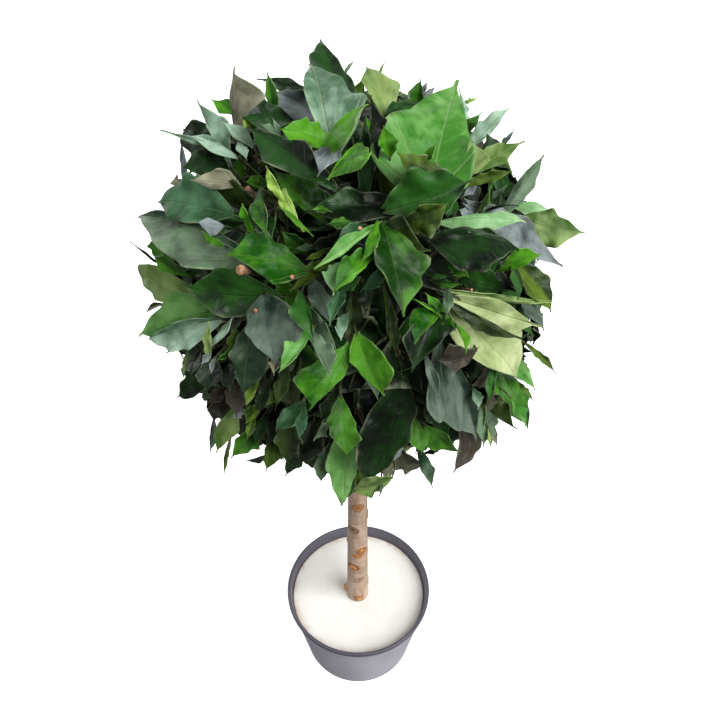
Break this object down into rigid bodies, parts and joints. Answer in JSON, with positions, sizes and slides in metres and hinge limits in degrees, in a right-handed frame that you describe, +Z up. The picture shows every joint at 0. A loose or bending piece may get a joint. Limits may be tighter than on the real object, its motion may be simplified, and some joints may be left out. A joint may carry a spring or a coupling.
{
  "type": "potted preserved ivy ball topiary",
  "caption": "Clipped ball of ivy leaves on a bare wood stem set in white plaster in a round tapered grey plastic pot.",
  "frame": {"origin": "middle of the pot's flat underside", "axes": "+Z up along the stem, -Y towards the viewer"},
  "size_m": [0.4457, 0.4319, 0.9796],
  "materials": {
    "pot": "satin moulded grey plastic",
    "plaster": "matt cast white plaster",
    "bark": "thin satin bark with scars",
    "ivy": "satin preserved leaves"
  },
  "bodies": {
    "root": {"pot": "pot", "plaster_fill": "plaster", "stem": "bark", "ivy_ball": "ivy"}
  },
  "joints": []
}
